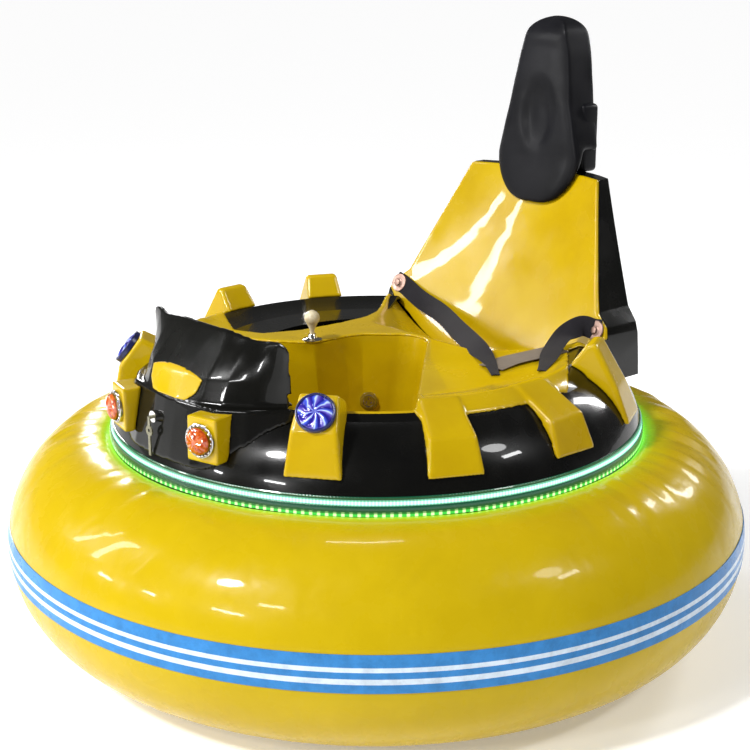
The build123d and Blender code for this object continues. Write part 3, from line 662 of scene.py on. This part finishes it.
# headrest: a globe drawn in until it lies on the CAD pad, eased, then given its thumb-shaped hollow
headShape = {
    "segments": 128,
    "rings": 104,
    "foot": 0.12,
    "crownDrop": 0.075,
    "inside": 0.03,
    "ease": 9,
    "dimpleZ": 1.205,
    "dimpleX": 0.064,
    "dimpleTall": 0.100,
    "dimple": 0.012,
    "crown": 0.004,
    "footWidth": 0.15,
    "taper": 0.085,
    "probe": 0.3,
    "cover": 0.045,  # thickness of pad in front of the stem
    "stemEdge": 0.012,
    "stemProbe": 1.27,
    "stemHigh": 1.235,
    "stemWiden": 1.18,
    "stemLow": 1.062,
}


# where a ray meets a CAD solid, and the way the face there looks
def cast(nodeName, start, towards):
    hit, spot, face, index = nodes[nodeName].ray_cast(Vector(start), Vector(towards))
    return (spot, face) if hit else (None, None)


def buildHeadrest():
    shape = headShape
    low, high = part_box("headrest")
    tall = high.z - low.z
    deselect()
    bpy.ops.mesh.primitive_uv_sphere_add(segments=shape["segments"], ring_count=shape["rings"], radius=1)
    pad = bpy.context.object
    for vertex in pad.data.vertices:
        ray = vertex.co.normalized()
        rise = (tall - shape["foot"] - shape["crownDrop"]) * (0.5 + 0.5 * ray.z)
        height = low.z + shape["foot"] + rise
        front = cast("headrest", (0, low.y - shape["probe"], height), (0, 1, 0))[0]
        flat = Vector((ray.x, ray.y, ray.z ** 3)).normalized()
        spot = cast("headrest", (0, front.y + shape["inside"], height), flat)[0]
        vertex.co = front if spot is None else spot
    relax = pad.modifiers.new("relax", "SMOOTH")
    relax.iterations = shape["ease"]
    applyAll(pad)
    for vertex in pad.data.vertices:
        facing = smooth(0.25, 0.85, -vertex.normal.y)
        x, y, z = vertex.co
        oval = hypot(x / shape["dimpleX"], (z - shape["dimpleZ"]) / shape["dimpleTall"])
        width = shape["footWidth"] - shape["taper"] * (z - low.z) / tall
        swell = shape["crown"] * max(0.0, 1 - (x / width) ** 2)
        hollow = shape["dimple"] * (1 - smooth(0.2, 1.1, oval))
        vertex.co.y = y + facing * (shape["crown"] * 0.5 - swell + hollow)
    ease = pad.modifiers.new("ease", "SUBSURF")
    ease.levels = ease.render_levels = 1
    applyAll(pad)
    settle(pad, "headrest_pad", headrestFoam, angle=180)
    # the block behind the pad carries on down to the top of the seat shell
    height = shape["stemProbe"]
    front = cast("headrest", (0, low.y - shape["probe"], height), (0, 1, 0))[0]
    back = cast("headrest", (0, high.y + shape["probe"], height), (0, -1, 0))[0]
    flank = cast("headrest", (0.5, back.y - 0.03, height), (-1, 0, 0))[0]
    near, deep = front.y + shape["cover"], back.y - front.y - shape["cover"]
    stemTall = shape["stemHigh"] - shape["stemLow"]
    deselect()
    bpy.ops.mesh.primitive_cube_add(size=1)
    stem = bpy.context.object
    bpy.ops.object.mode_set(mode="EDIT")
    bpy.ops.mesh.select_all(action="SELECT")
    bpy.ops.transform.resize(value=(flank.x * 2 * shape["stemWiden"], deep, stemTall))
    bpy.ops.object.mode_set(mode="OBJECT")
    stem.location = (0, near + deep / 2, (shape["stemHigh"] + shape["stemLow"]) / 2)
    edges = stem.modifiers.new("edges", "BEVEL")
    edges.width = shape["stemEdge"]
    edges.segments = 4
    applyAll(stem)
    settle(stem, "headrest_stem", headrestFoam, angle=40)
    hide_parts("headrest")


buildHeadrest()
print("headrest padded")

# these nodes keep their CAD solids, and a bevel of this width eases their edges
shells = {
    "seat_back_panel": 0.005,
    "seat_shell": 0.006,
    "leg_well": 0.003,
    "key": 0.0007,
    "key_switch": 0.0012,
    "belt_anchor_left": 0.0012,
    "belt_anchor_right": 0.0012,
    "lamp_bezel_left": 0.0015,
    "lamp_bezel_right": 0.0015,
    "disc_lamp_left": 0.002,
    "disc_lamp_right": 0.002,
    "drive_tyre_left": 0.004,
    "drive_tyre_right": 0.004,
    "caster_wheel_front": 0.003,
    "caster_wheel_rear": 0.003,
    "drive_hub_left": 0.002,
    "drive_hub_right": 0.002,
}
for name, width in shells.items():
    node = nodes[name]
    for polygon in node.data.polygons:
        polygon.use_smooth = True
    weld = node.modifiers.new("weld", "WELD")
    weld.merge_threshold = 0.00005
    ease = node.modifiers.new("ease", "BEVEL")
    ease.width = width
    ease.segments = 3
    ease.limit_method = "ANGLE"
    ease.angle_limit = radians(32)
    even = node.modifiers.new("even", "WEIGHTED_NORMAL")
    even.weight = 60
    even.keep_sharp = False
print("shell edges eased:", len(shells))


# lamps
lampShape = {
    "angle": 14.1,
    "radius": 0.656,
    "height": 0.635,
    "glass": 0.0300,
    "dome": 0.013,
    "facets": 14,
    "facet": 0.07,
    "glassRise": 0.004,
    "studRing": 0.0335,
    "studs": 20,
    "stud": 0.0031,
    "studRise": 0.0072,
    "bezel": 0.0365,
    "bezelWire": 0.0016,
    "bezelRise": 0.0065,
}


def lampFrame(sign):
    around = radians(sign * lampShape["angle"])
    out = Vector((sin(around), -cos(around), 0))
    across = Vector((cos(around), sin(around), 0))
    spot = out * lampShape["radius"]
    spot.z = lampShape["height"]
    return standing(spot, -across, out.cross(across) * -1, out)


def buildLamp(side, sign):
    shape = lampShape
    frameAt = lampFrame(sign)
    deselect()
    bpy.ops.mesh.primitive_uv_sphere_add(segments=28, ring_count=18, radius=shape["glass"])
    glass = bpy.context.object
    bpy.ops.object.mode_set(mode="EDIT")
    bpy.ops.mesh.select_all(action="SELECT")
    bpy.ops.mesh.bisect(plane_co=(0, 0, 0), plane_no=(0, 0, 1), clear_inner=True, use_fill=True)
    bpy.ops.mesh.select_all(action="SELECT")
    bpy.ops.transform.resize(value=(1, 1, shape["dome"] / shape["glass"]))
    bpy.ops.object.mode_set(mode="OBJECT")
    # facets: every second meridian is pressed in a little
    for vertex in glass.data.vertices:
        turn = atan2(vertex.co.y, vertex.co.x)
        away = hypot(vertex.co.x, vertex.co.y) / shape["glass"]
        if vertex.co.z > 0.0005:
            vertex.co.z *= 1 - shape["facet"] * (cos(turn * shape["facets"]) > 0) * smooth(0.15, 0.4, away)
            vertex.co.z += shape["glassRise"]
    glass.matrix_world = frameAt
    settle(glass, "lamp_glass_" + side, amberLens, angle=12)
    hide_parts("lamp_lens_" + side)
    studs = []
    for count in range(shape["studs"]):
        turn = 2 * pi * count / shape["studs"]
        deselect()
        bpy.ops.mesh.primitive_ico_sphere_add(
            subdivisions=2,
            radius=shape["stud"],
            location=(shape["studRing"] * cos(turn), shape["studRing"] * sin(turn), shape["studRise"]),
        )
        studs.append(bpy.context.object)
    deselect()
    bpy.ops.mesh.primitive_torus_add(
        major_segments=64,
        minor_segments=10,
        major_radius=shape["bezel"],
        minor_radius=shape["bezelWire"],
        location=(0, 0, shape["bezelRise"]),
    )
    studs.append(bpy.context.object)
    ring = joined(studs)
    bakePlace(ring)
    ring.matrix_world = frameAt
    settle(ring, "lamp_studs_" + side, chromeTrim)


sides = [("left", 1), ("right", -1)]
for side, sign in sides:
    buildLamp(side, sign)
print("front lamps glazed")

# disc lamps: a faceted lens with twisted blades in a dark rim
discShape = {
    "x": 0.352,
    "y": -0.484,
    "z": 0.709,
    "turn": 40,
    "tilt": 38,
    "lens": 0.0385,
    "thick": 0.0012,
    "lift": 0.0008,
    "relief": 0.0022,
    "dome": 0.006,
    "rim": 0.0402,
    "rimWire": 0.0027,
    "rimRise": 0.0006,
}


def discFrame(sign):
    turn, tilt = radians(discShape["turn"]), radians(discShape["tilt"])
    across = Vector((cos(turn), sign * sin(turn), 0))
    out = Vector((sign * sin(turn) * cos(tilt), -cos(turn) * cos(tilt), sin(tilt)))
    up = out.cross(across)
    spot = Vector((sign * discShape["x"], discShape["y"], discShape["z"]))
    return standing(spot, across, up, out)


def buildDisc(side, sign):
    shape = discShape
    deselect()
    bpy.ops.mesh.primitive_circle_add(vertices=132, radius=shape["lens"], fill_type="TRIFAN")
    lens = bpy.context.object
    bpy.ops.object.mode_set(mode="EDIT")
    bpy.ops.mesh.select_all(action="SELECT")
    bpy.ops.mesh.subdivide(number_cuts=7)
    bpy.ops.object.mode_set(mode="OBJECT")
    sheetMap = lens.data.uv_layers.new(name="face") if not lens.data.uv_layers else lens.data.uv_layers[0]
    for loop in lens.data.loops:
        x, y, z = lens.data.vertices[loop.vertex_index].co
        sheetMap.data[loop.index].uv = (0.5 + x / (2 * shape["lens"]), 0.5 + y / (2 * shape["lens"]))
    for vertex in lens.data.vertices:
        away = hypot(vertex.co.x, vertex.co.y) / shape["lens"]
        turn = atan2(vertex.co.y, vertex.co.x) / (2 * pi) + 0.5
        part = (turn * discBlades + away * 1.2) % 1.0
        ridge = abs(2 * part - 1)
        vertex.co.z = (
            shape["lift"]
            + shape["dome"] * (1 - away ** 2)
            + shape["relief"] * ridge * smooth(0.08, 0.35, away) * (1 - smooth(0.93, 1.0, away))
        )
    lens.matrix_world = discFrame(sign)
    settle(lens, "disc_lens_" + side, discLens, angle=40)
    outward(lens)
    thick = lens.modifiers.new("thick", "SOLIDIFY")
    thick.thickness = shape["thick"]
    thick.offset = -1
    applyAll(lens)
    deselect()
    bpy.ops.mesh.primitive_torus_add(
        major_segments=96,
        minor_segments=14,
        major_radius=shape["rim"],
        minor_radius=shape["rimWire"],
        location=(0, 0, shape["rimRise"]),
    )
    rim = bpy.context.object
    bakePlace(rim)
    rim.matrix_world = discFrame(sign)
    settle(rim, "disc_rim_" + side, discRim)


for side, sign in sides:
    buildDisc(side, sign)
print("disc lamps glazed")

# control lever: a pear-shaped knob on a stem that stands in a polished flange
leverShape = {
    "x": -0.150,
    "y": -0.078,
    "seat": 0.690,
    "ballZ": 0.746,
    "ball": 0.019,
    "neck": 0.0058,
    "neckFoot": 0.010,
    "neckRise": 0.026,
    # the flange's outline: radius, height above its seat
    "flange": [
        (0.0000, 0.0000), (0.0240, 0.0000), (0.0240, 0.0022), (0.0225, 0.0036), (0.0150, 0.0046),
        (0.0112, 0.0080), (0.0098, 0.0140), (0.0082, 0.0160), (0.0000, 0.0160),
    ],
}


def spun(points, steps=48):
    deselect()
    bpy.ops.mesh.primitive_plane_add(size=1)
    piece = bpy.context.object
    bpy.ops.object.mode_set(mode="EDIT")
    bpy.ops.mesh.select_all(action="SELECT")
    bpy.ops.mesh.delete(type="VERT")
    bpy.ops.object.mode_set(mode="OBJECT")
    outline = bmesh.new()
    corners = [outline.verts.new((radius, 0, height)) for radius, height in points]
    for start, end in zip(corners, corners[1:]):
        outline.edges.new((start, end))
    outline.to_mesh(piece.data)
    outline.free()
    bpy.ops.object.mode_set(mode="EDIT")
    bpy.ops.mesh.select_all(action="SELECT")
    bpy.ops.mesh.spin(steps=steps, angle=2 * pi, center=(0, 0, 0), axis=(0, 0, 1))
    bpy.ops.mesh.select_all(action="SELECT")
    bpy.ops.mesh.remove_doubles(threshold=0.00003)
    bpy.ops.mesh.normals_make_consistent(inside=False)
    bpy.ops.object.mode_set(mode="OBJECT")
    return piece


def buildLever():
    shape = leverShape
    ballRise = shape["ballZ"] - shape["seat"]
    neck, foot = shape["neck"], shape["neckFoot"]
    knobLine = [(0.0, foot), (neck, foot), (neck, shape["neckRise"])]
    for count in range(5, 20):
        turn = pi * count / 20
        radius = shape["ball"] * sin(turn)
        knobLine.append((max(radius, neck), ballRise - shape["ball"] * cos(turn)))
    knobLine.append((0.0, ballRise + shape["ball"]))
    knob = spun(knobLine)
    knob.location = (shape["x"], shape["y"], shape["seat"])
    settle(knob, "lever_knob", leverCream, angle=60)
    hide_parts("control_lever")
    flange = spun(shape["flange"])
    flange.location = (shape["x"], shape["y"], shape["seat"])
    settle(flange, "lever_flange", chromeTrim, angle=40)


buildLever()
print("lever fitted")


# sleeves below and above the upper LED strip, with its light painted on them as a green glow
sleeveShape = {
    # radius and height of their outlines
    "below": [
        (0.6452, 0.5112), (0.6464, 0.5118), (0.6466, 0.5232), (0.6458, 0.5246), (0.6446, 0.5242),
        (0.6448, 0.5120),
    ],
    "above": [(0.6388, 0.5362), (0.6412, 0.5366), (0.6416, 0.5410), (0.6402, 0.5428), (0.6386, 0.5430)],
}


def glowPainted(name, colour, strength):
    finish = newFinish(name, (0.004, 0.02, 0.01), 0.25, coat=0.5)
    mottle(finish, [(0.3, (0.002, 0.012, 0.006)), (0.7, (0.006, 0.03, 0.015))], grain(finish, 24.0, 4.0))
    # painted glow: the emission stands in for the LED strip's light falling on the sleeves
    shaderOf(finish).inputs["Emission Color"].default_value = (*colour, 1)
    shaderOf(finish).inputs["Emission Strength"].default_value = strength
    bump(finish, dots(finish, leds["upperDots"]), "Value", 0.3, 0.0006)
    return finish


sleeveGlow = glowPainted("led_sleeve_painted_glow", (0.0, 0.075, 0.03), 1.0)
for name, side in (("led_sleeve_low", "below"), ("led_sleeve_high", "above")):
    outline = sleeveShape[side]
    sleeve = spun([*outline, outline[0]], 180)
    settle(sleeve, name, sleeveGlow, angle=40)
print("led sleeves drawn on")

# charge socket on the rear wall of the leg well: a flanged shell with three pins
socketShape = {
    "x": -0.085,
    "z": 0.520,
    # radius and height of the outlines
    "shell": [
        (0.0000, 0.0010), (0.0130, 0.0010), (0.0140, 0.0020), (0.0140, 0.0120), (0.0165, 0.0120),
        (0.0165, 0.0035), (0.0225, 0.0030), (0.0235, 0.0015), (0.0235, -0.0040), (0.0000, -0.0040),
    ],
    "pin": [(0.0, 0.0005), (0.0016, 0.0005), (0.0016, 0.0080), (0.0009, 0.0090), (0.0, 0.0092)],
    "pins": [(0.0, 0.0065), (-0.0058, -0.0035), (0.0058, -0.0035)],
}


def wallFrame(x, z):
    best = None
    for name in ("leg_well", "seat_deck"):
        spot, face = cast(name, (x, -0.25, z), (0, 1, 0))
        if spot is not None and (best is None or spot.y < best[0].y):
            best = (spot, face)
    spot, face = best
    if face.y > 0:
        face = -face
    return standingOn(spot, face)


def buildSocket():
    shape = socketShape
    where = wallFrame(shape["x"], shape["z"])
    shell = spun(shape["shell"])
    shell.matrix_world = where
    settle(shell, "charge_socket", chromeTrim, angle=35)
    pins = []
    for x, y in shape["pins"]:
        pin = spun(shape["pin"], 16)
        pin.location = (x, y, 0)
        bakePlace(pin)
        pins.append(pin)
    group = joined(pins)
    group.matrix_world = where
    settle(group, "charge_socket_pins", anchorSteel, angle=35)


buildSocket()
print("charge socket fitted")

# bolt heads on the belt anchors
boltShape = {
    "radius": 0.0095,
    "tall": 0.0060,
    "rise": 0.0012,
    "edge": 0.0009,
    "washer": 0.0125,
    "washerTall": 0.0016,
    "washerEdge": 0.0010,
}


def buildBolt(name, where):
    shape = boltShape
    deselect()
    bpy.ops.mesh.primitive_cylinder_add(
        vertices=6,
        radius=shape["radius"],
        depth=shape["tall"],
        location=(0, 0, shape["tall"] / 2 + shape["rise"]),
    )
    head = bpy.context.object
    ease = head.modifiers.new("ease", "BEVEL")
    ease.width = shape["edge"]
    ease.segments = 3
    applyAll(head)
    bakePlace(head)
    wide, edge, tall = shape["washer"], shape["washerEdge"], shape["washerTall"]
    washer = spun([(0.0, 0.0), (wide, 0.0), (wide, edge), (wide * 0.93, tall), (0.0, tall)], 32)
    bolt = joined([head, washer])
    bolt.matrix_world = where
    settle(bolt, name, anchorSteel, angle=35)


for side, sign in sides:
    low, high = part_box("belt_anchor_" + side)
    middle = (low + high) / 2
    spot, face = cast("belt_anchor_" + side, (middle.x, 0, middle.z), (0, 1, 0))
    buildBolt("anchor_bolt_" + side, standingOn(spot, face))
print("anchor bolts set")

# seat belt
beltShape = {
    "width": 0.050,
    "flapWidth": 0.066,
    "gather": 0.6,  # share of the width drawn in at a belt's far end
    "gatherFrom": 0.72,
    "bow": 0.0012,
    "cloth": 0.0016,
    # stations along each strap. "back": x, z, lift off the seat back; "air": x, y, z, lean of the face
    # in degrees; "deck": x, y, lift off the deck
    "right": [
        ("back", -0.366, 0.732, 0.002), ("back", -0.336, 0.724, 0.003), ("back", -0.250, 0.700, 0.020),
        ("air", -0.120, 0.338, 0.692, 18), ("air", 0.030, 0.250, 0.692, 26), ("air", 0.180, 0.156, 0.700, 44),
        ("air", 0.280, 0.098, 0.698, 72), ("deck", 0.372, 0.030, 0.002),
    ],
    "left": [
        ("back", 0.366, 0.732, 0.002), ("back", 0.345, 0.730, 0.006), ("air", 0.318, 0.385, 0.735, 14),
        ("air", 0.312, 0.330, 0.722, 26), ("air", 0.340, 0.262, 0.708, 44), ("air", 0.385, 0.190, 0.699, 66),
        ("deck", 0.433, 0.116, 0.002),
    ],
    "flap": [
        ("deck", 0.326, 0.062, 0.004), ("deck", 0.318, 0.130, 0.006), ("deck", 0.322, 0.205, 0.006),
        ("deck", 0.334, 0.290, 0.003),
    ],
}


def stationAt(kind, x, second, third, lean=0.0):
    if kind == "air":
        turn = radians(lean)
        outwards = Vector((0.4, -1, 0)).normalized()
        return (x, second, third, *(outwards * cos(turn) + Vector((0, 0, 1)) * sin(turn)))
    if kind == "deck":
        spot = cast("seat_deck", (x, second, 1.0), (0, 0, -1))[0]
        return (x, second, spot.z + third, 0, 0, 1)
    spot, face = cast("seat_back_panel", (x, 0.05, second), (0, 1, 0))
    return (x, spot.y - third, second, *face)


# a smooth curve through the stations, with the end ones repeated
def between(stations, share):
    run = share * (len(stations) - 1)
    index = min(int(run), len(stations) - 2)
    part = run - index
    before = stations[max(index - 1, 0)]
    start, end = stations[index], stations[index + 1]
    after = stations[min(index + 2, len(stations) - 1)]
    station = []
    for a, b, c, d in zip(before, start, end, after):
        squared = (2 * a - 5 * b + 4 * c - d) * part ** 2
        cubed = (3 * b - a - 3 * c + d) * part ** 3
        station.append(0.5 * (2 * b + (c - a) * part + squared + cubed))
    return station


def buildStrap(name, stations, width, finish, nodeName=None, steps=48):
    spine = [stationAt(*station) for station in stations]
    deselect()
    bpy.ops.mesh.primitive_grid_add(x_subdivisions=6, y_subdivisions=steps, size=1)
    strap = bpy.context.object
    centres = [between(spine, row / steps) for row in range(steps + 1)]
    for vertex in strap.data.vertices:
        across = vertex.co.x
        row = min(steps, round((vertex.co.y + 0.5) * steps))
        middle = Vector(centres[row][:3])
        before, after = centres[max(row - 1, 0)], centres[min(row + 1, steps)]
        along = (Vector(after[:3]) - Vector(before[:3])).normalized()
        face = Vector(centres[row][3:]).normalized()
        side = along.cross(face).normalized()
        bow = along.cross(side).normalized() * beltShape["bow"] * (1 - (2 * across) ** 2)
        gathered = smooth(beltShape["gatherFrom"], 1.0, row / steps) if nodeName else 0.0
        narrow = 1 - beltShape["gather"] * gathered
        vertex.co = middle + side * across * width * narrow - bow
    thick = strap.modifiers.new("thick", "SOLIDIFY")
    thick.thickness = beltShape["cloth"]
    thick.offset = 0
    applyAll(strap)
    settle(strap, name, finish, angle=50)
    if nodeName:
        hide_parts(nodeName)


for side in ("right", "left"):
    buildStrap("strap_" + side, beltShape[side], beltShape["width"], webbing, "seat_belt_" + side)
buildStrap("lap_flap", beltShape["flap"], beltShape["flapWidth"], flapCloth)
print("belts laid")

# the deck is moulded last, since the straps are laid on its CAD solid
moulded("seat_deck", "deck_moulding", yellowGelcoat, 0.004, 8, 0.5)
print("deck moulded")

# studio
studio = {
    "azimuth": 48.2,
    "yaw": 0.32,
    "pitch": 16.38,
    "distance": 3.599,
    "height": 1.675,
    "lens": 73.73,
    "sensor": 36,
    "shift": -0.013,
    "glow": 0.27,
    "sky": 0.10,
    "aim": (0, 0, 0.6),
    # name, place, width, height, power
    "windows": [
        ("tall_window", (-2.3, -2.8, 2.3), 0.22, 1.5, 44),
        ("next_window", (-2.75, -2.35, 2.3), 0.12, 1.5, 22),
        ("left_window", (-3.70, 1.05, 1.95), 0.35, 1.1, 40),
        ("rear_window", (0.50, 3.70, 2.35), 0.40, 1.2, 46),
        ("side_window", (3.4, 1.2, 2.9), 0.6, 0.22, 20),
        ("front_window", (1.2, -3.6, 2.4), 0.5, 0.16, 16),
        ("roof_light", (-0.6, 0.4, 3.8), 0.7, 0.12, 9),
        ("low_spot", (-2.32, -3.86, 1.34), 0.42, 0.13, 20),
        ("next_spot", (-1.24, -4.36, 1.58), 0.36, 0.13, 17),
        ("wide_spot", (0.66, -4.49, 1.85), 0.70, 0.14, 30),
    ],
    # name, direction towards the light, strength, spread in degrees
    "suns": [("key", (-0.08, -0.70, 0.74), 2.75, 7), ("fill", (0.75, 0.35, 0.9), 0.45, 9)],
}


def aimed(lamp, towards):
    lamp.rotation_euler = towards.to_track_quat("-Z", "Y").to_euler()


def buildStudio():
    deselect()
    bpy.ops.mesh.primitive_plane_add(size=90, location=(0, 0, -0.0005))
    floor = bpy.context.object
    floor.name = "floor"
    paper = newFinish("studio_floor", (0.9, 0.9, 0.9), 0.75)
    shaderOf(paper).inputs["Emission Color"].default_value = (1, 1, 1, 1)
    shaderOf(paper).inputs["Emission Strength"].default_value = studio["glow"]
    floor.data.materials.append(paper)
    world = bpy.data.worlds.new("studio")
    bpy.context.scene.world = world
    world.use_nodes = True
    sky = world.node_tree.nodes["Background"]
    sky.inputs["Color"].default_value = (1, 1, 1, 1)
    sky.inputs["Strength"].default_value = studio["sky"]
    for name, spot, width, tall, power in studio["windows"]:
        bpy.ops.object.light_add(type="AREA", location=spot)
        lamp = bpy.context.object
        lamp.name = name
        lamp.data.shape = "RECTANGLE"
        lamp.data.size = width
        lamp.data.size_y = tall
        lamp.data.energy = power
        aimed(lamp, Vector(studio["aim"]) - Vector(spot))
    for name, towards, strength, spread in studio["suns"]:
        bpy.ops.object.light_add(type="SUN", location=(0, 0, 6))
        lamp = bpy.context.object
        lamp.name = name
        lamp.data.energy = strength
        lamp.data.angle = radians(spread)
        aimed(lamp, -Vector(towards))
    bpy.ops.object.camera_add()
    camera = bpy.context.object
    around = radians(studio["azimuth"])
    camera.location = (
        studio["distance"] * sin(around),
        -studio["distance"] * cos(around),
        studio["height"],
    )
    camera.rotation_euler = (
        radians(90 - studio["pitch"]),
        0,
        radians(studio["azimuth"] - studio["yaw"]),
    )
    camera.data.lens = studio["lens"]
    camera.data.sensor_width = studio["sensor"]
    camera.data.shift_x = studio["shift"]
    bpy.context.scene.camera = camera
    bpy.context.scene.view_settings.view_transform = "Standard"


buildStudio()
print("studio ready")
